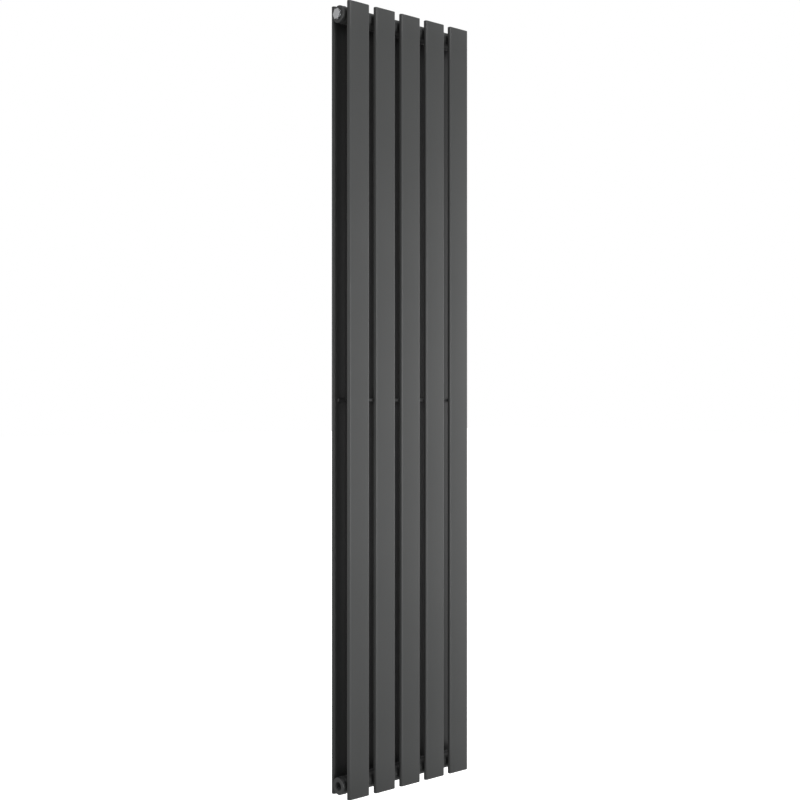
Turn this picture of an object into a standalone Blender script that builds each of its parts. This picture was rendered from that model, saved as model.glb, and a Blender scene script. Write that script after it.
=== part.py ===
"""Tall double column radiator with its hanging brackets, blanking plug and air vent.

Frame: +X to the right seen from the room, +Y towards the wall, +Z up.
The origin is on the wall plane, at the middle of the radiator's width and height.
All sizes are in metres.
"""
import math

import bmesh
import bpy
from mathutils import Matrix

# Overall
HEIGHT = 1.800
COLUMNS = 5
PITCH = 0.076
GAP = 0.0003            # clearance between pieces that touch

# Flat tubes
TUBE_WIDTH = 0.060
TUBE_DEPTH = 0.011
TUBE_WALL = 0.0015
CAP_THICK = 0.0025
CAP_ROUND = 0.0010

# Rows and wall
ROW_STEP = 0.058        # between the front faces of the two rows
WALL_GAP = 0.045        # from the wall to the backs of the rear tubes

# Headers
HEADER_R = 0.0190
HEADER_WALL = 0.002
HEADER_DROP = 0.0252    # header's axis below the tubes' ends
HEADER_END = 0.187      # port faces from the middle
BUSH_R = 0.0196
BUSH_LENGTH = 0.013
BUSH_EDGE = 0.0015
PORT_R = 0.0105
PORT_LEAD = 0.0008
NECK_WIDTH = 0.042      # oval neck from the header to a flat tube
NECK_TALL = 0.024
NECK_BORE_R = 0.0060

# Brace rods
ROD_R = 0.0040
ROD_LENGTH = 0.346

# Blanking plug and air vent
HEX_FLATS = 0.0220
HEX_THICK = 0.0038
HEX_TURN = math.radians(10)
FLANGE_R = 0.0118
FLANGE_THICK = 0.0006
SHANK_R = 0.0102
SHANK_LENGTH = 0.0110
SHANK_LEAD = 0.0010
TURNED_EDGE = 0.0004     # broken edges of turned brass
SEAL_THICK = 0.0008     # flat washer
SEAL_R = 0.0124
SEAL_BORE_R = 0.0106
NOSE_R = 0.0070
NOSE_LENGTH = 0.0105
SCREW_R = 0.0039
SCREW_BORE_R = 0.00395
SCREW_SQUARE = 0.0050
SCREW_HEAD = 0.0052
SCREW_SUNK = 0.0025      # thread ends below the nose
SOCKET_DEPTH = 0.0034    # of the needle in the screw
SEAT_HEIGHT = 0.0010     # valve seat from the port face
WATERWAY_R = 0.0011
NEEDLE_R = 0.0018
NEEDLE_BORE_R = 0.00185

# Hanging lugs and wall brackets
LUG_X = PITCH           # on the second and fourth columns
LUG_Z = 0.780
LUG_SHEET = 0.0025
LUG_WIDTH = 0.030       # clear width inside the lug
LUG_DEPTH = 0.0090      # clear depth inside the lug
LUG_FOOT = 0.010
LUG_TALL = 0.022
LIP_WIDTH = 0.022
LIP_TALL = 0.016
LINER = 0.0012
LINER_PAD = 0.0080
BRACKET_SHEET = 0.0030
PLATE_WIDTH = 0.040
PLATE_TALL = 0.070
PLATE_DROP = 0.008      # plate's middle below the lug's middle
HOLE_R = 0.00275
HOLE_INSET = 0.010
LINER_SPARE = 0.0010     # liner wider than the lip, each side
SHEET_EDGE = 0.0006      # rounding of cut sheet edges

ROUND = 40              # sides of a large round piece
SMALL_ROUND = 24

COLUMN_X = [(i - (COLUMNS - 1) / 2) * PITCH for i in range(COLUMNS)]
HEADER_Z = HEIGHT / 2 - HEADER_DROP
REAR_Y = -WALL_GAP - TUBE_DEPTH / 2
FRONT_Y = REAR_Y - ROW_STEP
REAR_FACE = REAR_Y - TUBE_DEPTH / 2
FRONT_BACK = FRONT_Y + TUBE_DEPTH / 2
HEADER_Y = (REAR_FACE + FRONT_BACK) / 2
BUSH_X = HEADER_END - BUSH_LENGTH
CAP_BASE = HEIGHT / 2 - CAP_THICK
TUBE_HALF = CAP_BASE - GAP
SEAT_X = 2 * GAP + SEAL_THICK               # flange's underside from the port face
HEX_TOP = SEAT_X + FLANGE_THICK + HEX_THICK
NOSE_TOP = HEX_TOP + NOSE_LENGTH
LIP_Y = -WALL_GAP + GAP + LUG_DEPTH / 2     # middle of the lip and of the lug's loop
ARM_TOP = -LUG_TALL / 2 - LINER - 2 * GAP   # from the lug's middle
LIP_TOP = ARM_TOP + LINER + GAP + LIP_TALL

# Turn a shape made along Z so that it lies along X or Y
ALONG = {
    "X": Matrix.Rotation(math.pi / 2, 4, "Y"),
    "Y": Matrix.Rotation(math.pi / 2, 4, "X"),
    "Z": Matrix.Identity(4),
}
# Stand an XY outline up in the YZ plane, extruded along X
UPRIGHT = (math.pi / 2, 0.0, math.pi / 2)
# Stand an XY outline up in the XZ plane, extruded along Y
FACING = (math.pi / 2, 0.0, 0.0)

# Base colour, roughness, metallic
FINISHES = {
    "powder_coat": ((0.047, 0.049, 0.049), 0.40, 0.0),
    "chrome": ((0.62, 0.63, 0.65), 0.12, 1.0),
    "rubber": ((0.02, 0.02, 0.02), 0.60, 0.0),
    "zinc": ((0.52, 0.54, 0.57), 0.35, 1.0),
    "brass": ((0.62, 0.47, 0.22), 0.30, 1.0),
    "nylon": ((0.78, 0.78, 0.75), 0.50, 0.0),
}


def clear_scene():
    for obj in list(bpy.data.objects):
        bpy.data.objects.remove(obj, do_unlink=True)


def make_collection(name):
    collection = bpy.data.collections.new(name)
    bpy.context.scene.collection.children.link(collection)
    return collection


def make_material(name, finish):
    colour, roughness, metallic = FINISHES[finish]
    mat = bpy.data.materials.new(name)
    mat.use_nodes = True
    shader = mat.node_tree.nodes["Principled BSDF"]
    shader.inputs["Base Color"].default_value = (*colour, 1.0)
    shader.inputs["Roughness"].default_value = roughness
    shader.inputs["Metallic"].default_value = metallic
    mat.diffuse_color = (*colour, 1.0)
    return mat


def place(obj, finish):
    """Put an object with the parts in its finish, or with the cutters for finish None."""
    if finish is None:
        CUTTERS.objects.link(obj)
        obj.hide_render = True
        obj.display_type = "WIRE"
        return obj
    PARTS.objects.link(obj)
    obj.data.materials.clear()
    obj.data.materials.append(make_material(obj.name, finish))
    obj.data.shade_smooth()
    obj.data.set_sharp_from_angle(angle=math.radians(35))
    return obj


def from_bmesh(name, bm, finish):
    mesh = bpy.data.meshes.new(name)
    bm.to_mesh(mesh)
    bm.free()
    return place(bpy.data.objects.new(name, mesh), finish)


def rods(name, centres, radius, length, axis, finish=None, sides=ROUND):
    """Equal cylinders along one axis, in one mesh."""
    bm = bmesh.new()
    for centre in centres:
        bmesh.ops.create_cone(bm, cap_ends=True, segments=sides, radius1=radius,
                              radius2=radius, depth=length,
                              matrix=Matrix.Translation(centre) @ ALONG[axis])
    return from_bmesh(name, bm, finish)


def block(name, size, centre, finish):
    bm = bmesh.new()
    bmesh.ops.create_cube(bm, size=1.0, matrix=Matrix.Translation(centre) @ Matrix.Diagonal(
        (*size, 1.0)))
    return from_bmesh(name, bm, finish)


def prism(name, sides, flats, low, high, turn, location, rotation):
    """Cutter with a regular cross-section, between two heights on its own axis."""
    bm = bmesh.new()
    corner = flats / 2 / math.cos(math.pi / sides)
    bmesh.ops.create_cone(bm, cap_ends=True, segments=sides, radius1=corner, radius2=corner,
                          depth=high - low,
                          matrix=Matrix.Translation((0, 0, (low + high) / 2))
                          @ Matrix.Rotation(turn, 4, "Z"))
    obj = from_bmesh(name, bm, None)
    obj.location = location
    obj.rotation_euler = rotation
    return obj


def turned(name, profile, location, rotation, finish, closed=False, sides=ROUND):
    """Screw a (radius, height) profile, given down its outer side, about its own Z axis."""
    mesh = bpy.data.meshes.new(name)
    count = len(profile)
    edges = [(i, i + 1) for i in range(count - 1)]
    if closed:
        edges.append((count - 1, 0))
    mesh.from_pydata([(radius, 0, height) for radius, height in profile], edges, [])
    obj = place(bpy.data.objects.new(name, mesh), finish)
    obj.location = location
    obj.rotation_euler = rotation
    mod = obj.modifiers.new("turn", "SCREW")
    mod.steps = sides
    mod.render_steps = sides
    mod.use_merge_vertices = True
    mod.merge_threshold = 0.00001
    mod.use_smooth_shade = True
    return obj


def extruded(name, outlines, depth, location, rotation, finish):
    """Mesh from closed 2D outlines, the second one a hole, extruded evenly both ways."""
    data = bpy.data.curves.new(name, "CURVE")
    data.dimensions = "2D"
    data.fill_mode = "BOTH"
    data.extrude = depth / 2
    for outline in outlines:
        spline = data.splines.new("POLY")
        spline.points.add(len(outline) - 1)
        for point, (px, py) in zip(spline.points, outline):
            point.co = (px, py, 0.0, 1.0)
        spline.use_cyclic_u = True
    curve = bpy.data.objects.new(name + "_outline", data)
    bpy.context.scene.collection.objects.link(curve)
    curve.location = location
    curve.rotation_euler = rotation
    bpy.context.view_layer.update()
    evaluated = curve.evaluated_get(bpy.context.evaluated_depsgraph_get())
    mesh = bpy.data.meshes.new_from_object(evaluated)
    mesh.name = name
    bm = bmesh.new()
    bm.from_mesh(mesh)
    bmesh.ops.remove_doubles(bm, verts=bm.verts, dist=0.00001)
    bm.to_mesh(mesh)
    bm.free()
    obj = bpy.data.objects.new(name, mesh)
    obj.matrix_world = curve.matrix_world.copy()
    bpy.data.objects.remove(curve)
    return place(obj, finish)


def boolean(obj, other, operation="DIFFERENCE"):
    mod = obj.modifiers.new(other.name, "BOOLEAN")
    mod.operation = operation
    mod.solver = "EXACT"
    mod.object = other


def soften(obj, width, angle=40):
    mod = obj.modifiers.new("edges", "BEVEL")
    mod.width = width
    mod.segments = 2
    mod.limit_method = "ANGLE"
    mod.angle_limit = math.radians(angle)


def flat_oval(width, depth, steps=8):
    """Outline with full round edges: two half circles joined by flats."""
    radius = depth / 2
    reach = width / 2 - radius
    outline = []
    for side in (1, -1):
        for i in range(steps + 1):
            a = math.pi * (i / steps - side / 2)
            outline.append((side * reach + radius * math.cos(a), radius * math.sin(a)))
    return outline


def flat_tube(name, x, y, holes):
    outlines = [flat_oval(TUBE_WIDTH, TUBE_DEPTH),
                flat_oval(TUBE_WIDTH - 2 * TUBE_WALL, TUBE_DEPTH - 2 * TUBE_WALL)]
    tube = extruded(name, outlines, 2 * TUBE_HALF, (x, y, 0), (0, 0, 0), "powder_coat")
    boolean(tube, holes)


def end_cap(name, x, y, up):
    """Flat cap welded on a tube's end."""
    z = up * (CAP_BASE + CAP_THICK / 2)
    cap = extruded(name, [flat_oval(TUBE_WIDTH, TUBE_DEPTH)], CAP_THICK, (x, y, z), (0, 0, 0),
                   "powder_coat")
    soften(cap, CAP_ROUND, 60)


def header(name, z, bores):
    """Header tube with a pulled neck to every flat tube."""
    length = 2 * (BUSH_X - GAP)
    tube = rods(name, [(0, HEADER_Y, z)], HEADER_R, length, "X", "powder_coat")
    span = REAR_FACE - FRONT_BACK - 2 * GAP
    necks = [[(x + px, py) for px, py in flat_oval(NECK_WIDTH, NECK_TALL, 6)] for x in COLUMN_X]
    boolean(tube, extruded(name + "_necks", necks, span, (0, HEADER_Y, z), FACING, None), "UNION")
    boolean(tube, rods(name + "_bore", [(0, HEADER_Y, z)], HEADER_R - HEADER_WALL,
                       1.1 * length, "X"))
    boolean(tube, bores)


def outward(side):
    """Rotation that turns +Z to +X for side 1 and to -X for side -1."""
    return (0.0, side * math.pi / 2, 0.0)


def bush(name, side, z):
    """Threaded bush welded into a header's end; its outer face is the port face."""
    edge = BUSH_EDGE
    profile = [(BUSH_R - edge, BUSH_LENGTH), (BUSH_R - 0.3 * edge, BUSH_LENGTH - 0.3 * edge),
               (BUSH_R, BUSH_LENGTH - edge), (BUSH_R, 0), (PORT_R, 0),
               (PORT_R, BUSH_LENGTH - PORT_LEAD), (PORT_R + PORT_LEAD, BUSH_LENGTH)]
    turned(name, profile, (side * BUSH_X, HEADER_Y, z), outward(side), "powder_coat", True)


def seal(name, side, z):
    """Flat rubber washer between a port face and the flange of the plug or the vent."""
    edge = 0.25 * SEAL_THICK
    top = SEAL_THICK
    section = [(SEAL_R - edge, top), (SEAL_R, top - edge), (SEAL_R, edge), (SEAL_R - edge, 0),
               (SEAL_BORE_R, 0), (SEAL_BORE_R, top)]
    turned(name, section, (side * (HEADER_END + GAP), HEADER_Y, z), outward(side), "rubber",
           True)


def hex_fitting(name, side, z, nose=0.0):
    """Threaded shank, round flange and hexagon head, with a round nose on the vent."""
    edge = TURNED_EDGE
    rim = 0.5 * TURNED_EDGE
    low = SHANK_LEAD - SHANK_LENGTH
    top = SEAT_X + FLANGE_THICK
    profile = [(0, top), (FLANGE_R - rim, top), (FLANGE_R, top - rim),
               (FLANGE_R, SEAT_X + rim), (FLANGE_R - rim, SEAT_X), (SHANK_R, SEAT_X),
               (SHANK_R, low), (SHANK_R - SHANK_LEAD, -SHANK_LENGTH), (0, -SHANK_LENGTH)]
    if nose:
        high = HEX_TOP + nose
        profile = [(0, high), (NOSE_R - edge, high), (NOSE_R, high - edge),
                   (NOSE_R, top)] + profile[1:]
    place_at = (side * HEADER_END, HEADER_Y, z)
    fitting = turned(name, profile, place_at, outward(side), "chrome")
    head = prism(name + "_hexagon", 6, HEX_FLATS, top - edge, HEX_TOP, HEX_TURN, place_at,
                 outward(side))
    soften(head, edge, 50)
    boolean(fitting, head, "UNION")
    return fitting


def air_vent(side, z):
    """Vent body with its outlet, a square-headed bleed screw and the needle in its end."""
    place_at = (side * HEADER_END, HEADER_Y, z)
    turn = outward(side)
    seat = SEAT_HEIGHT
    chamber = seat + 0.0020
    body = hex_fitting("vent_body", side, z, NOSE_LENGTH)
    past = 0.0020
    bore = [(0, NOSE_TOP + past), (SCREW_BORE_R, NOSE_TOP + past), (SCREW_BORE_R, chamber),
            (WATERWAY_R, seat), (WATERWAY_R, -SHANK_LENGTH - past), (0, -SHANK_LENGTH - past)]
    boolean(body, turned("vent_bore", bore, place_at, turn, None))
    outlet_x = side * (HEADER_END + HEX_TOP + NOSE_LENGTH / 2)
    boolean(body, rods("vent_outlet", [(outlet_x, HEADER_Y, z - NOSE_R)], WATERWAY_R, NOSE_R,
                       "Z", sides=16))

    low = chamber + 0.0030
    high = NOSE_TOP - SCREW_SUNK
    edge = TURNED_EDGE
    socket = low + SOCKET_DEPTH
    thread = [(0, high), (SCREW_R - edge, high), (SCREW_R, high - edge), (SCREW_R, low + edge),
              (SCREW_R - edge, low), (NEEDLE_BORE_R, low), (NEEDLE_BORE_R, socket), (0, socket)]
    screw = turned("bleed_screw", thread, place_at, turn, "brass")
    head = prism("bleed_screw_square", 4, SCREW_SQUARE, high - edge, high + SCREW_HEAD,
                 math.pi / 4, place_at, turn)
    soften(head, 0.0003, 50)
    boolean(screw, head, "UNION")

    top = socket - GAP
    needle = [(0, top), (NEEDLE_R, top), (NEEDLE_R, seat + 0.0019), (0.0005, seat + 0.0003),
              (0, seat + 0.0003)]
    turned("bleed_needle", needle, place_at, turn, "rubber", sides=SMALL_ROUND)


def lug(name, x, z):
    """Top-hat strap welded to a rear tube's back; the bracket's lip stands inside it."""
    half = LUG_WIDTH / 2
    near = -WALL_GAP + GAP
    far = near + LUG_DEPTH
    sheet = LUG_SHEET
    right = [(half, far), (half, near), (half + LUG_FOOT, near), (half + LUG_FOOT, near + sheet),
             (half + sheet, near + sheet), (half + sheet, far + sheet)]
    left = [(-px, py) for px, py in reversed(right)]
    strap = extruded(name, [right + left], LUG_TALL, (x, 0, z), (0, 0, 0), "powder_coat")
    soften(strap, SHEET_EDGE)


def wall_bracket(name, x, z):
    """Wall plate drilled for two screws, with an arm that turns up into a lip."""
    sheet = BRACKET_SHEET
    middle = z - PLATE_DROP
    plate = block(name, (PLATE_WIDTH, sheet, PLATE_TALL), (x, -sheet / 2, middle), "zinc")
    low = ARM_TOP - sheet
    arm = [(-sheet / 2, low), (-sheet / 2, ARM_TOP), (LIP_Y + sheet / 2, ARM_TOP),
           (LIP_Y + sheet / 2, LIP_TOP), (LIP_Y - sheet / 2, LIP_TOP), (LIP_Y - sheet / 2, low)]
    strip = extruded(name + "_arm", [arm], LIP_WIDTH, (x, 0, z), UPRIGHT, None)
    boolean(plate, strip, "UNION")
    reach = PLATE_TALL / 2 - HOLE_INSET
    holes = [(x, -sheet / 2, middle + reach), (x, -sheet / 2, middle - reach)]
    soften(plate, 0.0005, 50)
    boolean(plate, rods(name + "_holes", holes, HOLE_R, 4 * sheet, "Y", sides=16))


def liner(name, x, z):
    """Nylon saddle clipped over the lip, with a pad that the lug rests on."""
    inner = BRACKET_SHEET / 2 + GAP
    outer = inner + LINER
    low = ARM_TOP + GAP
    under = LIP_TOP + GAP
    outline = [(LIP_Y - outer, low), (LIP_Y - inner, low), (LIP_Y - inner, under),
               (LIP_Y + inner, under), (LIP_Y + inner, low), (LIP_Y + inner + LINER_PAD, low),
               (LIP_Y + inner + LINER_PAD, low + LINER), (LIP_Y + outer, low + LINER),
               (LIP_Y + outer, under + LINER), (LIP_Y - outer, under + LINER)]
    saddle = extruded(name, [outline], LIP_WIDTH + 2 * LINER_SPARE, (x, 0, z), UPRIGHT, "nylon")
    soften(saddle, 0.0003)


def build():
    depth = REAR_Y - FRONT_Y
    bores = rods("neck_bores", [(x, HEADER_Y, z) for x in COLUMN_X for z in (-HEADER_Z, HEADER_Z)],
                 NECK_BORE_R, depth, "Y", sides=SMALL_ROUND)
    for row, y in (("front", FRONT_Y), ("rear", REAR_Y)):
        for number, x in enumerate(COLUMN_X, 1):
            flat_tube(f"{row}_tube_{number}", x, y, bores)
            end_cap(f"{row}_top_cap_{number}", x, y, 1)
            end_cap(f"{row}_bottom_cap_{number}", x, y, -1)

    for level, z in (("top", HEADER_Z), ("bottom", -HEADER_Z)):
        header(f"{level}_header", z, bores)
        bush(f"{level}_left_bush", -1, z)
        bush(f"{level}_right_bush", 1, z)

    for row, y in (("front", FRONT_BACK + GAP + ROD_R), ("rear", REAR_FACE - GAP - ROD_R)):
        rod = rods(f"{row}_brace_rod", [(0, y, 0)], ROD_R, ROD_LENGTH, "X", "powder_coat",
                   SMALL_ROUND)
        soften(rod, 0.0005, 60)

    hex_fitting("blanking_plug", -1, HEADER_Z)
    seal("plug_seal", -1, HEADER_Z)
    air_vent(1, HEADER_Z)
    seal("vent_seal", 1, HEADER_Z)

    for level, z in (("top", LUG_Z), ("bottom", -LUG_Z)):
        for hand, x in (("left", -LUG_X), ("right", LUG_X)):
            lug(f"{level}_{hand}_lug", x, z)
            wall_bracket(f"{level}_{hand}_bracket", x, z)
            liner(f"{level}_{hand}_liner", x, z)


clear_scene()
PARTS = make_collection("radiator")
CUTTERS = make_collection("cutters")
build()
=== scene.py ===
"""Radiator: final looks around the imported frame. Metres, +Y towards the wall, +Z up."""
import math

import bmesh
import bpy
from mathutils import Matrix, Vector


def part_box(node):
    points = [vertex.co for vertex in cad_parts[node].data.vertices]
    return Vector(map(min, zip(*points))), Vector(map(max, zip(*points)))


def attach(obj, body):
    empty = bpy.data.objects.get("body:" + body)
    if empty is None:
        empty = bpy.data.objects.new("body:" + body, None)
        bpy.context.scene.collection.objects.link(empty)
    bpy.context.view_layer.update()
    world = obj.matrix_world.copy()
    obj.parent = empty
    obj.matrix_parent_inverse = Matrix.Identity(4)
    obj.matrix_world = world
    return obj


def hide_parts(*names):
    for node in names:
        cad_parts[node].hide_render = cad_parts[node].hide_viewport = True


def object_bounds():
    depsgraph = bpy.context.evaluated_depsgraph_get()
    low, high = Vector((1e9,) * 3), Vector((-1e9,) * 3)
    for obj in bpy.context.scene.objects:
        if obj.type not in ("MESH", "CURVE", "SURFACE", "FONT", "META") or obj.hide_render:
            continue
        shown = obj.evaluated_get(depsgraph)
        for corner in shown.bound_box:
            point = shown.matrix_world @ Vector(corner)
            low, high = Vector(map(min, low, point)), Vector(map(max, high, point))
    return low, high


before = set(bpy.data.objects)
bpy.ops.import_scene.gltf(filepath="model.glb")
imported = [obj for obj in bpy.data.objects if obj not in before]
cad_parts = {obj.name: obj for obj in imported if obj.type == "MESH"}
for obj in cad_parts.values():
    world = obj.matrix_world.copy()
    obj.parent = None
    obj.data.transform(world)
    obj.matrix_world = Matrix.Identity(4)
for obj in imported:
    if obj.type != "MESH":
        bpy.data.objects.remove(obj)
CAD_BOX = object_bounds()
COLUMNS = 5
ROWS = ("front", "rear")
LEVELS = ("top", "bottom")
HANDS = (("left", -1), ("right", 1))

# Sizes of details that the frame doesn't hold, in metres
END_ROUND = 0.0011          # rounding of a tube's closed ends
SEAM_DEPTH = 0.00012        # cap's laser weld, ground almost flush
SEAM_HALF = 0.0004
PIPE_PITCH = 0.001814       # 1/2 inch pipe thread
PIPE_MINOR = 0.00932
PIPE_MAJOR = 0.01048
THREAD_PLAY = 0.00012       # between a screwed-in thread and its bush
THREAD_STEPS = 8            # rings to one turn of thread
BEAD = 0.0011               # weld bead's section radius
RIPPLE = 0.0011             # length of one ripple in a bead
HEADER_WALL = 0.002
NECK_WIDTH = 0.042          # oval neck between header and tube
NECK_TALL = 0.024
BUSH_EDGE = 0.0015
BUSH_BEAD = 0.0007
ROD_DOME = 0.0005
TACK = 0.0006               # tack weld's section radius and half its length
TACK_REACH = 0.004
SEAT = 0.0014               # flange stands this far off the port, on its washer
FLANGE_R = 0.0118
FLANGE_THICK = 0.0006
FLANGE_EDGE = 0.00015
RELIEF_R = 0.0094           # undercut between a fitting's thread and its flange
RUN_OUT = 0.0018            # end of a fitting's thread, below its flange
HEX_FLATS = 0.0220
HEX_EDGE = 0.00035
NOSE_R = 0.0070             # vent's round nose
NOSE_LENGTH = 0.0105
NOSE_FILLET = 0.0008
NOSE_EDGE = 0.0006
WATERWAY_R = 0.0011
SCREW_HOLE_R = 0.00397
MOUTH_R = 0.0056            # countersink at the vent's mouth
KEY_SQUARE = 0.0050         # bleed screw's square head
KEY_LENGTH = 0.0052
SCREW_PITCH = 0.0010
SCREW_THREAD = 0.0005       # depth of its thread
SOCKET_R = 0.00185          # hole in the screw that holds its needle
SOCKET_DEPTH = 0.0034
WASHER_BORE_R = 0.0106
WASHER_EDGE = 0.00018
LUG_SHEET = 0.0025
LUG_FOOT = 0.010
LUG_BEAD = 0.0014
BRACKET_SHEET = 0.0030
PLATE_CORNER = 0.004
ARM_HALF = 0.011
BRACKET_BEAD = 0.0013
HOLE_R = 0.00275            # wall screws' holes, and their countersinks
HOLE_MOUTH_R = 0.0035
HOLE_INSET = 0.010          # from the plate's ends
LINER_WALL = 0.0012
LINER_HALF = 0.0018         # half the width inside a liner's saddle
OVERLAP = 0.0003            # shapes to be joined run into each other
OVERRUN = 0.001             # cutting shapes run past what they cut
ROUND = 72                  # sides of a turned part

NOISE_LOW = 0.3             # most of a noise's values lie between these
NOISE_HIGH = 0.7

CAMERA_YAW = math.radians(39.606)
CAMERA_PLACE = (-1.8063, -2.2565, 0.0)
CAMERA_LENS = 53.84
CAMERA_SHIFT = 0.0002
FLOOR_DROP = 0.13           # below the tubes' lower ends
FLOOR_HALF = 30.0
AMBIENT = 0.38              # strength of the white world as a light
LIGHT_DISTANCE = 3.5
LIGHT_TARGET = (0.0, -0.08, 0.0)
SOFTBOXES = (               # azimuth and height in degrees, size in metres, power in watts
    ("front", 0, 0, 1.8, 53.0),
    ("front_high", 0, 50, 1.8, 28.0),
    ("front_low", 0, -25, 1.8, 15.0),
    ("right", 50, 0, 2.5, 18.5),
    ("right_low", 60, -30, 1.8, 5.0),
    ("far_right", 75, 0, 1.8, 21.0),
    ("right_high", 80, 40, 1.8, 7.0),
    ("left_behind", -105, 0, 1.8, 27.0),
)


# ---------------------------------------------------------------- materials

class Nodes:
    """Small helper to wire a procedural material in object space."""

    def __init__(self, name):
        self.material = bpy.data.materials.new(name)
        self.material.use_nodes = True
        self.tree = self.material.node_tree
        self.shader = self.tree.nodes["Principled BSDF"]
        self.coords = self.add("ShaderNodeTexCoord").outputs["Object"]

    def add(self, kind, **settings):
        node = self.tree.nodes.new(kind)
        for key, value in settings.items():
            setattr(node, key, value)
        return node

    def link(self, source, target):
        self.tree.links.new(source, target)

    def noise(self, scale, detail=2.0, roughness=0.5, stretch=None):
        node = self.add("ShaderNodeTexNoise")
        node.inputs["Scale"].default_value = scale
        node.inputs["Detail"].default_value = detail
        node.inputs["Roughness"].default_value = roughness
        source = self.coords
        if stretch:
            mapping = self.add("ShaderNodeMapping")
            mapping.inputs["Scale"].default_value = stretch
            self.link(source, mapping.inputs["Vector"])
            source = mapping.outputs["Vector"]
        self.link(source, node.inputs["Vector"])
        return node.outputs["Fac"]

    def ramp(self, value, low, high):
        """Blend two colours over a noise's range."""
        node = self.add("ShaderNodeValToRGB")
        node.color_ramp.elements[0].position = NOISE_LOW
        node.color_ramp.elements[1].position = NOISE_HIGH
        node.color_ramp.elements[0].color = (*low, 1.0)
        node.color_ramp.elements[1].color = (*high, 1.0)
        self.link(value, node.inputs["Fac"])
        return node.outputs["Color"]

    def scaled(self, value, low, high):
        """Stretch a noise's range between two numbers."""
        node = self.add("ShaderNodeMapRange")
        node.inputs["From Min"].default_value = NOISE_LOW
        node.inputs["From Max"].default_value = NOISE_HIGH
        node.inputs["To Min"].default_value = low
        node.inputs["To Max"].default_value = high
        self.link(value, node.inputs["Value"])
        return node.outputs["Result"]

    def bump(self, *layers):
        """Stack bump layers given as (height, strength, distance)."""
        normal = None
        for height, strength, distance in layers:
            node = self.add("ShaderNodeBump")
            node.inputs["Strength"].default_value = strength
            node.inputs["Distance"].default_value = distance
            self.link(height, node.inputs["Height"])
            if normal:
                self.link(normal, node.inputs["Normal"])
            normal = node.outputs["Normal"]
        self.link(normal, self.shader.inputs["Normal"])

    def set(self, **values):
        for key, value in values.items():
            self.shader.inputs[key.replace("_", " ")].default_value = value


def powder_coat():
    """Satin anthracite powder coat: orange peel, fine grain, slow drift in tone."""
    n = Nodes("powder_coat")
    drift = n.noise(5.0, 3.0)
    peel = n.noise(850.0, 2.0, 0.45)
    grain = n.noise(3800.0, 1.0)
    waves = n.noise(9.0, 1.0, 0.4, (1.0, 1.0, 0.25))
    n.link(n.ramp(drift, (0.0425, 0.0440, 0.0436), (0.0470, 0.0485, 0.0480)),
           n.shader.inputs["Base Color"])
    n.link(n.scaled(peel, 0.36, 0.43), n.shader.inputs["Roughness"])
    n.bump((waves, 0.15, 0.0015), (peel, 0.22, 0.00012), (grain, 0.12, 0.00004))
    n.set(Specular_IOR_Level=0.5)
    return n.material


def chrome():
    n = Nodes("chrome")
    haze = n.noise(260.0, 4.0, 0.6)
    lines = n.noise(900.0, 2.0, 0.5, (0.08, 1.0, 1.0))
    n.link(n.ramp(haze, (0.86, 0.87, 0.89), (0.92, 0.93, 0.95)), n.shader.inputs["Base Color"])
    n.link(n.scaled(haze, 0.07, 0.15), n.shader.inputs["Roughness"])
    n.bump((lines, 0.06, 0.00005))
    n.set(Metallic=1.0)
    return n.material


def brass():
    n = Nodes("brass")
    tarnish = n.noise(420.0, 4.0, 0.6)
    lines = n.noise(2600.0, 2.0, 0.5, (1.0, 0.15, 0.15))
    n.link(n.ramp(tarnish, (0.50, 0.36, 0.15), (0.70, 0.53, 0.26)),
           n.shader.inputs["Base Color"])
    n.link(n.scaled(tarnish, 0.22, 0.38), n.shader.inputs["Roughness"])
    n.bump((lines, 0.15, 0.00006))
    n.set(Metallic=1.0)
    return n.material


def zinc():
    """Bright zinc plate over rolled steel, with the rolling grain and faint stains."""
    n = Nodes("zinc")
    stain = n.noise(55.0, 5.0, 0.65)
    grain = n.noise(1300.0, 2.0, 0.5, (1.0, 1.0, 0.06))
    n.link(n.ramp(stain, (0.46, 0.48, 0.51), (0.60, 0.62, 0.64)), n.shader.inputs["Base Color"])
    n.link(n.scaled(stain, 0.27, 0.42), n.shader.inputs["Roughness"])
    n.bump((stain, 0.05, 0.0004), (grain, 0.18, 0.00006))
    n.set(Metallic=1.0)
    return n.material


def nylon():
    n = Nodes("nylon")
    cloud = n.noise(120.0, 3.0)
    pores = n.noise(2400.0, 2.0)
    n.link(n.ramp(cloud, (0.70, 0.69, 0.64), (0.80, 0.79, 0.75)), n.shader.inputs["Base Color"])
    n.link(n.scaled(cloud, 0.42, 0.55), n.shader.inputs["Roughness"])
    n.bump((pores, 0.2, 0.00006))
    return n.material


def rubber():
    n = Nodes("rubber")
    bloom = n.noise(600.0, 4.0, 0.6)
    pores = n.noise(3000.0, 2.0)
    n.link(n.ramp(bloom, (0.012, 0.012, 0.012), (0.030, 0.030, 0.031)),
           n.shader.inputs["Base Color"])
    n.link(n.scaled(bloom, 0.48, 0.66), n.shader.inputs["Roughness"])
    n.bump((pores, 0.25, 0.00005))
    return n.material


def studio_floor():
    n = Nodes("studio_floor")
    cloud = n.noise(3.0, 3.0)
    n.link(n.ramp(cloud, (0.93, 0.93, 0.93), (0.95, 0.95, 0.95)), n.shader.inputs["Base Color"])
    n.link(n.ramp(cloud, (0.97, 0.97, 0.97), (1.0, 1.0, 1.0)), n.shader.inputs["Emission Color"])
    n.set(Roughness=0.8, Specular_IOR_Level=0.1, Emission_Strength=1.0)
    return n.material


FINISH = {
    "powder_coat": powder_coat(),
    "chrome": chrome(),
    "brass": brass(),
    "zinc_plate": zinc(),
    "nylon": nylon(),
    "seal_rubber": rubber(),
}


# ---------------------------------------------------------------- mesh tools

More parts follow.
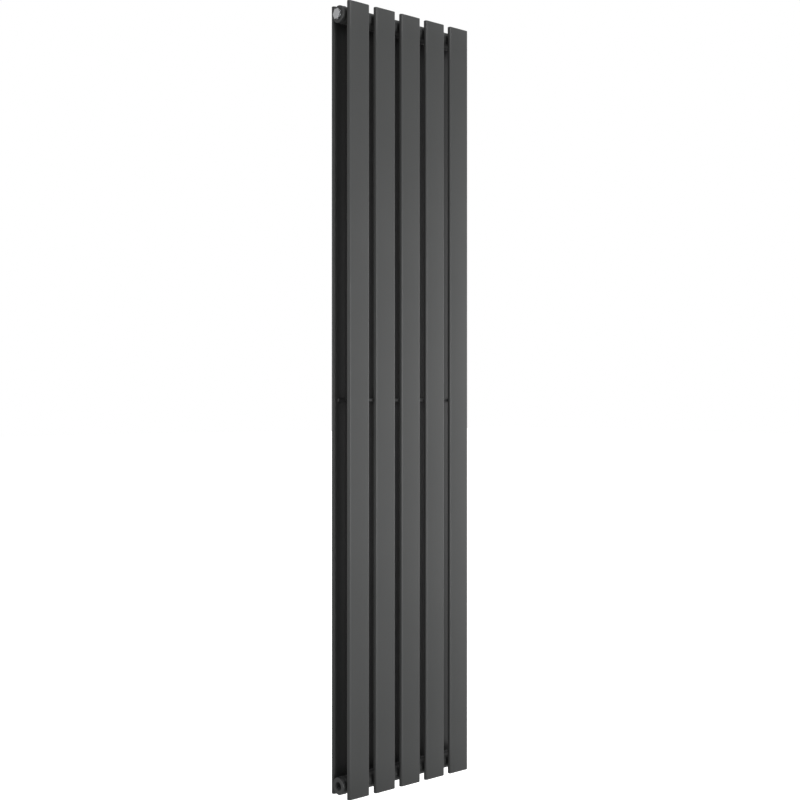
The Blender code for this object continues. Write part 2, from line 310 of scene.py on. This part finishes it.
def finish_piece(name, bm, slot, body, nodes, smooth_angle=35):
    """Turn a bmesh into a piece that rides on a body and stands for CAD nodes."""
    bmesh.ops.recalc_face_normals(bm, faces=bm.faces)
    mesh = bpy.data.meshes.new(name)
    bm.to_mesh(mesh)
    bm.free()
    mesh.materials.append(FINISH[slot])
    mesh.shade_smooth()
    mesh.set_sharp_from_angle(angle=math.radians(smooth_angle))
    piece = bpy.data.objects.new(name, mesh)
    bpy.context.scene.collection.objects.link(piece)
    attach(piece, body)
    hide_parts(*nodes)


def loft(bm, rings, closed=False):
    """Skin equal rings of points; an open loft is capped with flat ends."""
    rows = [[bm.verts.new(point) for point in ring] for ring in rings]
    count = len(rows[0])
    pairs = list(zip(rows, rows[1:]))
    if closed:
        pairs.append((rows[-1], rows[0]))
    for below, above in pairs:
        for i in range(count):
            j = (i + 1) % count
            bm.faces.new((below[i], below[j], above[j], above[i]))
    if not closed:
        bm.faces.new(tuple(reversed(rows[0])))
        bm.faces.new(tuple(rows[-1]))


def circle(radius, height, sides=ROUND):
    """Ring about local Z; radius may be a function of the angle."""
    points = []
    for i in range(sides):
        a = 2 * math.pi * i / sides
        r = radius(a) if callable(radius) else radius
        points.append(Vector((r * math.cos(a), r * math.sin(a), height)))
    return points


def arc(cx, cy, radius, start, end, steps):
    """Points on an arc in degrees, both ends included."""
    points = []
    for i in range(steps + 1):
        a = math.radians(start + (end - start) * i / steps)
        points.append((cx + radius * math.cos(a), cy + radius * math.sin(a)))
    return points


def flat_oval(width, depth, steps=16):
    """Outline of a flat oval, wide along X."""
    radius = depth / 2
    reach = width / 2 - radius
    return arc(reach, 0, radius, -90, 90, steps) + arc(-reach, 0, radius, 90, 270, steps)


def moved(bm, matrix):
    bmesh.ops.transform(bm, matrix=matrix, verts=bm.verts)


def outward(side, place):
    """Matrix that lays local Z along +X or -X at a place."""
    return Matrix.Translation(place) @ Matrix.Rotation(side * math.pi / 2, 4, "Y")


def combined(bm, other, operation="UNION"):
    """Boolean of two closed bmeshes; both are used up and a new one comes back."""
    objects = []
    for part in (bm, other):
        bmesh.ops.recalc_face_normals(part, faces=part.faces)
        mesh = bpy.data.meshes.new("operand")
        part.to_mesh(mesh)
        part.free()
        obj = bpy.data.objects.new("operand", mesh)
        bpy.context.scene.collection.objects.link(obj)
        objects.append(obj)
    mod = objects[0].modifiers.new("join", "BOOLEAN")
    mod.operation = operation
    mod.solver = "EXACT"
    mod.object = objects[1]
    evaluated = objects[0].evaluated_get(bpy.context.evaluated_depsgraph_get())
    result = bmesh.new()
    result.from_mesh(evaluated.to_mesh())
    evaluated.to_mesh_clear()
    for obj in objects:
        mesh = obj.data
        bpy.data.objects.remove(obj)
        bpy.data.meshes.remove(mesh)
    return result


def softened(bm, width, angle, segments):
    """Round the edges sharper than an angle."""
    bmesh.ops.recalc_face_normals(bm, faces=bm.faces)
    limit = math.radians(angle)
    edges = [e for e in bm.edges if e.is_manifold and e.calc_face_angle() > limit]
    bmesh.ops.bevel(bm, geom=edges, offset=width, segments=segments, profile=0.5,
                    affect="EDGES", clamp_overlap=True)


def upright(x):
    """Matrix that lays local XY in the world's YZ plane, at a place along X."""
    return Matrix(((0, 0, 1, x), (1, 0, 0, 0), (0, 1, 0, 0), (0, 0, 0, 1)))


def outline_solid(outline, low, high, matrix):
    """Closed outline in local XY, extruded between two local heights."""
    bm = bmesh.new()
    loft(bm, [[Vector((px, py, h)) for px, py in outline] for h in (low, high)])
    moved(bm, matrix)
    return bm


def bead(points, radius, squash=0.6, sides=10):
    """Rippled weld bead along a path of (point, normal); closed when the ends meet."""
    bm = bmesh.new()
    closed = (points[0][0] - points[-1][0]).length < 1e-6
    if closed:
        points = points[:-1]
    rings = []
    count = len(points)
    travelled = 0.0
    for i, (point, normal) in enumerate(points):
        ahead = points[(i + 1) % count][0] if closed or i < count - 1 else point
        behind = points[i - 1][0] if closed or i > 0 else point
        along = (ahead - behind).normalized()
        across = along.cross(normal).normalized()
        travelled += (point - behind).length if i else 0.0
        size = radius * (1.0 + 0.10 * abs(math.sin(math.pi * travelled / RIPPLE)))
        if not closed:
            size *= max(0.15, min(1.0, 6.0 * min(i, count - 1 - i) / count))
        ring = []
        for k in range(sides):
            a = 2 * math.pi * k / sides
            ring.append(point + across * size * math.cos(a)
                        + normal * size * squash * math.sin(a))
        rings.append(ring)
    loft(bm, rings, closed)
    return bm


def round_path(centre, normal, radius, steps):
    """Closed circle path whose bead faces half outwards, half along the normal."""
    side = normal.orthogonal().normalized()
    other = normal.cross(side)
    points = []
    for i in range(steps + 1):
        a = 2 * math.pi * i / steps
        out = side * math.cos(a) + other * math.sin(a)
        points.append((centre + out * radius, (normal + out).normalized()))
    return points


def straight_path(start, end, normal, steps=40):
    return [(start.lerp(end, i / steps), normal) for i in range(steps + 1)]


def added(bm, other):
    """Put a second closed shell in the same mesh."""
    mesh = bpy.data.meshes.new("shell")
    other.to_mesh(mesh)
    other.free()
    bm.from_mesh(mesh)
    bpy.data.meshes.remove(mesh)


def middle(node):
    low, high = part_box(node)
    return (Vector(low) + Vector(high)) / 2


def extent(node):
    low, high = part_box(node)
    return Vector(high) - Vector(low)


# ---------------------------------------------------------------- tubes

def panel(row, number):
    """One flat tube with its welded ends: rounded rims and a ground seam below each."""
    nodes = (f"{row}_tube_{number}", f"{row}_top_cap_{number}", f"{row}_bottom_cap_{number}")
    centre = middle(nodes[0])
    width, depth, _ = extent(nodes[0])
    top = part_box(nodes[1])[1][2]
    cap = extent(nodes[1]).z

    rim = []
    steps = 6
    for i in range(steps + 1):
        a = math.pi / 2 * i / steps
        rim.append((END_ROUND * (1 - math.sin(a)), END_ROUND * (1 - math.cos(a))))
    seam = [(0, cap - SEAM_HALF), (SEAM_DEPTH, cap - 0.3 * SEAM_HALF),
            (SEAM_DEPTH, cap + 0.3 * SEAM_HALF), (0, cap + SEAM_HALF)]
    ends = rim + seam
    levels = [(inset, top - down) for inset, down in ends]
    spans = 24
    reach = top - cap - 2 * SEAM_HALF
    levels += [(0.0, reach * (1 - 2 * i / spans)) for i in range(1, spans)]
    levels += [(inset, down - top) for inset, down in reversed(ends)]

    bm = bmesh.new()
    loft(bm, [[Vector((centre.x + px, centre.y + py, z))
               for px, py in flat_oval(width - 2 * inset, depth - 2 * inset)]
              for inset, z in reversed(levels)])
    finish_piece(f"{row}_column_{number}", bm, "powder_coat", "radiator", nodes)


# ---------------------------------------------------------------- headers and ports

def oval_path(centre, width, depth, side, steps=12):
    """Closed path round an oval neck where it meets a tube's face."""
    points = []
    outline = flat_oval(width, depth, steps)
    for px, pz in outline + outline[:1]:
        out = Vector((px - math.copysign(min(abs(px), (width - depth) / 2), px), 0, pz))
        points.append((centre + Vector((px, 0, pz)),
                       (out.normalized() + Vector((0, -side, 0))).normalized()))
    return points


def header(level):
    """Header pipe with oval necks, each welded all round to its tube."""
    node = f"{level}_header"
    centre = middle(node)
    length, depth, height = extent(node)
    radius = height / 2
    half = length / 2
    bm = bmesh.new()
    loft(bm, [circle(radius, -half, 96), circle(radius, half, 96)])
    moved(bm, outward(1, centre))
    beads = []
    spare = 0.0006
    for number in range(1, COLUMNS + 1):
        x = middle(f"front_tube_{number}").x
        place = Vector((x, centre.y, centre.z))
        neck = outline_solid(flat_oval(NECK_WIDTH, NECK_TALL), -depth / 2, depth / 2,
                             Matrix.Translation(place) @ Matrix.Rotation(math.pi / 2, 4, "X"))
        bm = combined(bm, neck)
        for side in (-1, 1):
            spot = place + Vector((0, side * (depth / 2 - 0.0002), 0))
            path = oval_path(spot, NECK_WIDTH + spare, NECK_TALL + spare, side)
            beads.append(bead(path, BEAD))
    bore = bmesh.new()
    bore_r = radius - HEADER_WALL
    loft(bore, [circle(bore_r, -half - OVERRUN, 96), circle(bore_r, half + OVERRUN, 96)])
    moved(bore, outward(1, centre))
    bm = combined(bm, bore, "DIFFERENCE")
    for ring in beads:
        added(bm, ring)
    finish_piece(f"{level}_header_pipe", bm, "powder_coat", "radiator", (node,))


def thread_radius(height, angle, pitch, minor, major):
    """Trapezoid thread form: how far out the surface is at a height and an angle."""
    phase = (height / pitch - angle / (2 * math.pi)) % 1.0
    flank = abs(2 * phase - 1)
    return minor + (major - minor) * max(0.0, min(1.0, 1.5 * flank - 0.25))


def bush(level, hand, side):
    """Port bush with a real pipe thread inside and a ground weld to the header."""
    node = f"{level}_{hand}_bush"
    centre = middle(node)
    length, _, across = extent(node)
    radius = across / 2
    rings = []
    steps = int(length / PIPE_PITCH * THREAD_STEPS)
    for i in range(steps + 1):
        h = length * i / steps
        lead = PIPE_MAJOR + OVERLAP - min(h, length - h)

        def bore(a, h=h, lead=lead):
            return max(lead, thread_radius(h, a, PIPE_PITCH, PIPE_MINOR, PIPE_MAJOR))
        rings.append(circle(bore, h))
    outer = [(radius - BUSH_EDGE, length)]
    outer += arc(radius - BUSH_EDGE, length - BUSH_EDGE, BUSH_EDGE, 90, 0, 5)
    outer += [(radius, 0.0012), (radius - 0.0002, 0.0006), (radius - 0.0002, 0.0)]
    rings += [circle(r, h) for r, h in outer]
    bm = bmesh.new()
    loft(bm, rings, closed=True)
    start = Vector((centre.x - side * length / 2, centre.y, centre.z))
    moved(bm, outward(side, start))
    path = round_path(start, Vector((side, 0, 0)), radius - 0.0001, 220)
    added(bm, bead(path, BUSH_BEAD, 0.5))
    finish_piece(f"{level}_{hand}_port", bm, "powder_coat", "radiator", (node,))


# ---------------------------------------------------------------- brace rods

def brace_rod(row, side):
    """Round rod with domed ends, tacked to every tube of its row."""
    node = f"{row}_brace_rod"
    centre = middle(node)
    length, _, height = extent(node)
    radius = height / 2
    half = length / 2
    ends = arc(radius - ROD_DOME, half - ROD_DOME, ROD_DOME, 90, 0, 5)
    profile = [(r, -h) for r, h in ends] + [(r, h) for r, h in reversed(ends)]
    bm = bmesh.new()
    loft(bm, [circle(r, h, 40) for r, h in profile])
    moved(bm, outward(1, centre))
    for number in range(1, COLUMNS + 1):
        tube = middle(f"{row}_tube_{number}")
        for up in (-1, 1):
            spot = Vector((tube.x, centre.y + side * (radius - OVERLAP),
                           centre.z + up * 0.0016))
            reach = Vector((TACK_REACH, 0, 0))
            normal = Vector((0, -side, up)).normalized()
            added(bm, bead(straight_path(spot - reach, spot + reach, normal), TACK))
    finish_piece(f"{row}_brace", bm, "powder_coat", "radiator", (node,))


# ---------------------------------------------------------------- plug and air vent

def hexagon(flats, low, high, turn):
    """Hexagon bar with slightly broken edges."""
    corner = flats / math.sqrt(3)
    bar = bmesh.new()
    bmesh.ops.create_cone(bar, cap_ends=True, segments=6, radius1=corner, radius2=corner,
                          depth=high - low, matrix=Matrix.Translation((0, 0, (low + high) / 2))
                          @ Matrix.Rotation(turn, 4, "Z"))
    softened(bar, HEX_EDGE, 40, 3)
    return bar


def fitting(name, node, side, nose, turn):
    """Chromed plug or vent body: pipe thread, flange, hexagon turned by degrees, nose."""
    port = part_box(f"top_{'left' if side < 0 else 'right'}_bush")
    face = port[0][0] if side < 0 else port[1][0]
    centre = middle(node)
    low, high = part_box(node)
    inner = abs(face - (high[0] if side < 0 else low[0]))
    outer = abs((low[0] if side < 0 else high[0]) - face)
    top = outer - nose
    rings = []
    threaded = inner + SEAT - RUN_OUT
    steps = int(threaded / PIPE_PITCH * THREAD_STEPS)
    bush_length = extent("top_left_bush").x
    for i in range(steps + 1):
        h = -inner + threaded * i / steps
        lead = PIPE_MINOR - 0.0004 + (h + inner)

        def shank(a, h=h, lead=lead):
            form = thread_radius(bush_length + h, a, PIPE_PITCH, PIPE_MINOR, PIPE_MAJOR)
            return min(lead, form - THREAD_PLAY)
        rings.append(circle(shank, h))
    rings += [circle(RELIEF_R, SEAT - 0.0012), circle(RELIEF_R, SEAT)]
    rim = FLANGE_R - FLANGE_EDGE
    ring_top = SEAT + FLANGE_THICK
    corners = arc(rim, SEAT + FLANGE_EDGE, FLANGE_EDGE, -90, 0, 3)
    corners += arc(rim, ring_top - FLANGE_EDGE, FLANGE_EDGE, 0, 90, 3)
    rings += [circle(r, h) for r, h in corners]
    bm = bmesh.new()
    loft(bm, rings)
    bm = combined(bm, hexagon(HEX_FLATS, ring_top - OVERLAP, top, math.radians(turn)))
    if nose:
        tip = bmesh.new()
        foot = NOSE_R + NOSE_FILLET
        profile = [(foot, top - 0.0005), (foot, top)]
        profile += arc(foot, top + NOSE_FILLET, NOSE_FILLET, -90, -180, 4)
        profile += arc(NOSE_R - NOSE_EDGE, outer - NOSE_EDGE, NOSE_EDGE, 0, 90, 4)
        loft(tip, [circle(r, h) for r, h in profile])
        bm = combined(bm, tip)
        bore = bmesh.new()
        loft(bore, [circle(r, h, 64) for r, h in
                    ((WATERWAY_R, -inner - 2 * OVERRUN), (WATERWAY_R, 0.0010),
                     (SCREW_HOLE_R, 0.0030), (SCREW_HOLE_R, outer - NOSE_EDGE),
                     (MOUTH_R, outer + OVERRUN))])
        bm = combined(bm, bore, "DIFFERENCE")
        outlet = bmesh.new()
        loft(outlet, [circle(WATERWAY_R, h, 24) for h in (0.003, 0.012)])
        moved(outlet, Matrix.Translation((0, 0, top + nose / 2))
              @ Matrix.Rotation(side * math.pi / 2, 4, "Y"))
        bm = combined(bm, outlet, "DIFFERENCE")
    softened(bm, 0.00012, 40, 2)
    moved(bm, outward(side, Vector((face, centre.y, centre.z))))
    finish_piece(name, bm, "chrome", "radiator", (node,), 30)


def bleed_screw():
    """Brass screw with a radiator-key square, turned end and a dimple."""
    node = "bleed_screw"
    low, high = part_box(node)
    centre = middle(node)
    length = high[0] - low[0]
    radius = extent(node).y / 2
    shoulder = length - KEY_LENGTH
    rings = []
    steps = int(shoulder / SCREW_PITCH * THREAD_STEPS)
    for i in range(steps + 1):
        h = shoulder * i / steps
        lead = radius - 0.0004 + min(h, shoulder - h)

        def thread(a, h=h, lead=lead):
            root = radius - SCREW_THREAD
            return min(lead, thread_radius(h, a, SCREW_PITCH, root, radius))
        rings.append(circle(thread, h, 48))
    bm = bmesh.new()
    loft(bm, rings)
    corner = KEY_SQUARE / math.sqrt(2)
    bar = bmesh.new()
    bmesh.ops.create_cone(bar, cap_ends=True, segments=4, radius1=corner, radius2=corner,
                          depth=length - shoulder + OVERLAP,
                          matrix=Matrix.Translation((0, 0, (shoulder + length - OVERLAP) / 2))
                          @ Matrix.Rotation(math.pi / 4, 4, "Z"))
    turned = bmesh.new()
    loft(turned, [circle(corner - 0.0001, shoulder - OVERRUN, 64),
                  circle(corner - 0.0001, length - 0.0007, 64),
                  circle(KEY_SQUARE / 2 - 0.0003, length, 64)])
    bm = combined(bm, combined(bar, turned, "INTERSECT"))
    dimple = bmesh.new()
    loft(dimple, [circle(0.0001, length - 0.0007, 24), circle(0.0013, length + 0.0002, 24)])
    bm = combined(bm, dimple, "DIFFERENCE")
    socket = bmesh.new()
    loft(socket, [circle(SOCKET_R, -OVERRUN, 32), circle(SOCKET_R, SOCKET_DEPTH, 32)])
    bm = combined(bm, socket, "DIFFERENCE")
    moved(bm, outward(1, Vector((low[0], centre.y, centre.z))))
    finish_piece("bleed_screw_key", bm, "brass", "bleed_screw", (node,), 30)


def washer(name, node, side):
    """Flat rubber washer, bulging a little where it is squeezed."""
    centre = middle(node)
    width, across, _ = extent(node)
    half = width / 2
    outer = across / 2 - 0.0001
    rim = outer - WASHER_EDGE
    section = [(WASHER_BORE_R, -half), (WASHER_BORE_R, half)]
    section += arc(rim, half - WASHER_EDGE, WASHER_EDGE, 90, 0, 4)
    section += [(outer + 0.00008, 0.0)]
    section += arc(rim, WASHER_EDGE - half, WASHER_EDGE, 0, -90, 4)
    bm = bmesh.new()
    loft(bm, [circle(r, h) for r, h in section], closed=True)
    moved(bm, outward(side, centre))
    finish_piece(name, bm, "seal_rubber", "radiator", (node,))


def bleed_needle():
    """Rubber needle whose cone closes the vent's waterway."""
    node = "bleed_needle"
    low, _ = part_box(node)
    centre = middle(node)
    length, across, _ = extent(node)
    radius = across / 2
    profile = [(0.00035, 0.0)] + arc(radius - 0.0003, 0.0011, 0.0003, -45, 0, 4)
    profile += [(radius, 0.0016), (radius - 0.0002, 0.0018), (radius - 0.0002, 0.0022),
                (radius, 0.0024), (radius, length - 0.0002), (radius - 0.0002, length)]
    bm = bmesh.new()
    loft(bm, [circle(r, h, 40) for r, h in profile])
    moved(bm, outward(1, Vector((low[0], centre.y, centre.z))))
    finish_piece("bleed_needle_seat", bm, "seal_rubber", "bleed_needle", (node,))


# ---------------------------------------------------------------- lugs and brackets

def folded(points, sheet, bend, steps=6):
    """Outline of a folded strip: a centre line with round bends, given a thickness."""
    line = [Vector(points[0])]
    for before, corner, after in zip(points, points[1:], points[2:]):
        before, corner, after = Vector(before), Vector(corner), Vector(after)
        into = (corner - before).normalized()
        out = (after - corner).normalized()
        radius = bend + sheet / 2
        turn = math.atan2(into.x * out.y - into.y * out.x, into.dot(out))
        cut = radius * math.tan(abs(turn) / 2)
        start = corner - into * cut
        hub = start + Vector((-into.y, into.x)) * radius * (1 if turn > 0 else -1)
        for i in range(steps + 1):
            a = turn * i / steps
            arm = start - hub
            c, s = math.cos(a), math.sin(a)
            line.append(hub + Vector((c * arm.x - s * arm.y, s * arm.x + c * arm.y)))
    line.append(Vector(points[-1]))
    left, right = [], []
    for i, point in enumerate(line):
        ahead = line[min(i + 1, len(line) - 1)]
        behind = line[max(i - 1, 0)]
        along = (ahead - behind).normalized()
        across = Vector((-along.y, along.x)) * sheet / 2
        left.append((point + across).to_tuple())
        right.append((point - across).to_tuple())
    return left + right[::-1]


def lug(corner):
    """Folded strap with its feet welded to the rear tube's back."""
    node = f"{corner}_lug"
    low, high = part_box(node)
    centre = middle(node)
    half = (high[0] - low[0]) / 2
    wall = half - LUG_FOOT - LUG_SHEET / 2
    near, far = low[1] + LUG_SHEET / 2, high[1] - LUG_SHEET / 2
    line = [(-half, near), (-wall, near), (-wall, far), (wall, far), (wall, near), (half, near)]
    bm = outline_solid(folded(line, LUG_SHEET, 0.0012), low[2], high[2],
                       Matrix.Translation((centre.x, 0, 0)))
    softened(bm, 0.0005, 50, 2)
    back = low[1]
    for side in (-1, 1):
        x = centre.x + side * (half + 0.0002)
        inset = Vector((0, 0, 0.0015))
        start = Vector((x, back + 0.0004, low[2])) + inset
        end = Vector((x, back + 0.0004, high[2])) - inset
        normal = Vector((side, 1, 0)).normalized()
        added(bm, bead(straight_path(start, end, normal, 60), LUG_BEAD))
    finish_piece(f"{corner}_hanger", bm, "powder_coat", "radiator", (node,))


def bracket(corner):
    """Zinc-plated wall bracket: drilled plate, folded arm and upturned lip."""
    node = f"{corner}_bracket"
    low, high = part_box(node)
    centre = middle(node)
    sheet = BRACKET_SHEET
    tall = high[2] - low[2]
    w, t = (high[0] - low[0]) / 2 - PLATE_CORNER, tall / 2 - PLATE_CORNER
    outline = []
    for cx, cz, start in ((w, t, 0), (-w, t, 90), (-w, -t, 180), (w, -t, 270)):
        outline += arc(cx, cz, PLATE_CORNER, start, start + 90, 5)
    face_on = Matrix(((1, 0, 0, centre.x), (0, 0, -1, 0), (0, 1, 0, centre.z), (0, 0, 0, 1)))
    bm = outline_solid(outline, 0.0, sheet, face_on)
    softened(bm, 0.0004, 50, 2)

    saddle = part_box(f"{corner}_liner")
    arm_top = saddle[0][2] - 0.0003
    lip_top = saddle[1][2] - 0.0015
    lip_y = low[1] + sheet / 2
    line = [(-sheet * 0.9, arm_top - sheet / 2), (lip_y, arm_top - sheet / 2), (lip_y, lip_top)]
    arm = outline_solid(folded(line, sheet, 0.0008), -ARM_HALF, ARM_HALF, upright(centre.x))
    softened(arm, 0.0004, 50, 2)
    bm = combined(bm, arm)
    for hole in (-1, 1):
        drill = bmesh.new()
        profile = [(HOLE_R, -0.002), (HOLE_R, sheet - 0.0006),
                   (HOLE_MOUTH_R, sheet + 0.0002), (HOLE_MOUTH_R, sheet + 0.002)]
        loft(drill, [circle(r, h, 40) for r, h in profile])
        z = centre.z + hole * (tall / 2 - HOLE_INSET)
        moved(drill, Matrix.Translation((centre.x, 0, z)) @ Matrix.Rotation(math.pi / 2, 4, "X"))
        bm = combined(bm, drill, "DIFFERENCE")
    for up in (0, 1):
        z = arm_top - sheet * (1 - up)
        reach = ARM_HALF - 0.0005
        start = Vector((centre.x - reach, -sheet, z))
        end = Vector((centre.x + reach, -sheet, z))
        normal = Vector((0, -1, 1 if up else -1)).normalized()
        added(bm, bead(straight_path(start, end, normal, 60), BRACKET_BEAD))
    finish_piece(f"{corner}_wall_bracket", bm, "zinc_plate", "wall_brackets", (node,))


def liner(corner):
    """Moulded nylon saddle over the lip, rounded inside and out."""
    node = f"{corner}_liner"
    low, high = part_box(node)
    centre = middle(node)
    lip_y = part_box(f"{corner}_bracket")[0][1] + BRACKET_SHEET / 2
    inside = lip_y - LINER_HALF - LINER_WALL / 2
    outside = lip_y + LINER_HALF + LINER_WALL / 2
    crown = high[2] - LINER_WALL / 2
    flange = low[2] + LINER_WALL / 2
    line = [(inside, low[2]), (inside, crown), (outside, crown), (outside, flange),
            (high[1], flange)]
    half = (high[0] - low[0]) / 2
    bm = outline_solid(folded(line, LINER_WALL, 0.0006, 4), -half, half, upright(centre.x))
    softened(bm, 0.00025, 50, 2)
    finish_piece(f"{corner}_saddle", bm, "nylon", "wall_brackets", (node,))


# ---------------------------------------------------------------- studio

def softbox(name, azimuth, height, size, power):
    """Square soft light round the radiator; azimuth 0 is in front, 90 at the right end."""
    a = math.radians(azimuth)
    e = math.radians(height)
    away = Vector((math.sin(a) * math.cos(e), -math.cos(a) * math.cos(e), math.sin(e)))
    data = bpy.data.lights.new(name, "AREA")
    data.shape = "SQUARE"
    data.size = size
    data.energy = power
    light = bpy.data.objects.new(name, data)
    light.location = Vector(LIGHT_TARGET) + LIGHT_DISTANCE * away
    light.rotation_euler = away.to_track_quat("Z", "Y").to_euler()
    bpy.context.scene.collection.objects.link(light)


def white_world():
    """White to the camera, weaker as a light."""
    world = bpy.data.worlds.new("studio")
    world.use_nodes = True
    nodes = world.node_tree.nodes
    links = world.node_tree.links
    lighting = nodes["Background"]
    lighting.inputs["Color"].default_value = (1.0, 1.0, 1.0, 1.0)
    lighting.inputs["Strength"].default_value = AMBIENT
    backdrop = nodes.new("ShaderNodeBackground")
    backdrop.inputs["Color"].default_value = (1.0, 1.0, 1.0, 1.0)
    backdrop.inputs["Strength"].default_value = 1.0
    mix = nodes.new("ShaderNodeMixShader")
    path = nodes.new("ShaderNodeLightPath")
    links.new(path.outputs["Is Camera Ray"], mix.inputs[0])
    links.new(lighting.outputs[0], mix.inputs[1])
    links.new(backdrop.outputs[0], mix.inputs[2])
    links.new(mix.outputs[0], nodes["World Output"].inputs["Surface"])
    return world


def studio():
    """White floor and world, the soft lights and the camera."""
    scene = bpy.context.scene
    scene.view_settings.view_transform = "Standard"
    scene.world = white_world()

    bm = bmesh.new()
    bmesh.ops.create_grid(bm, x_segments=8, y_segments=8, size=FLOOR_HALF)
    moved(bm, Matrix.Translation((0, 0, CAD_BOX[0][2] - FLOOR_DROP)))
    mesh = bpy.data.meshes.new("floor")
    bm.to_mesh(mesh)
    bm.free()
    mesh.materials.append(studio_floor())
    floor = bpy.data.objects.new("floor", mesh)
    floor.visible_diffuse = False
    floor.visible_glossy = False
    scene.collection.objects.link(floor)

    for settings in SOFTBOXES:
        softbox(*settings)

    data = bpy.data.cameras.new("camera")
    data.lens = CAMERA_LENS
    data.sensor_width = 36.0
    data.shift_y = CAMERA_SHIFT
    data.clip_start = 0.05
    data.clip_end = 100.0
    camera = bpy.data.objects.new("camera", data)
    camera.location = CAMERA_PLACE
    camera.rotation_euler = (math.pi / 2, 0.0, -CAMERA_YAW)
    scene.collection.objects.link(camera)
    scene.camera = camera


def build():
    """Every piece of the radiator and its wall brackets."""
    for row in ROWS:
        for number in range(1, COLUMNS + 1):
            panel(row, number)
    brace_rod("front", -1)
    brace_rod("rear", 1)
    for level in LEVELS:
        header(level)
        for hand, side in HANDS:
            bush(level, hand, side)
            lug(f"{level}_{hand}")
            bracket(f"{level}_{hand}")
            liner(f"{level}_{hand}")
    fitting("blanking_plug_chrome", "blanking_plug", -1, 0.0, 0)
    fitting("vent_body_chrome", "vent_body", 1, NOSE_LENGTH, 10)
    washer("plug_washer", "plug_seal", -1)
    washer("vent_washer", "vent_seal", 1)
    bleed_screw()
    bleed_needle()


build()
studio()
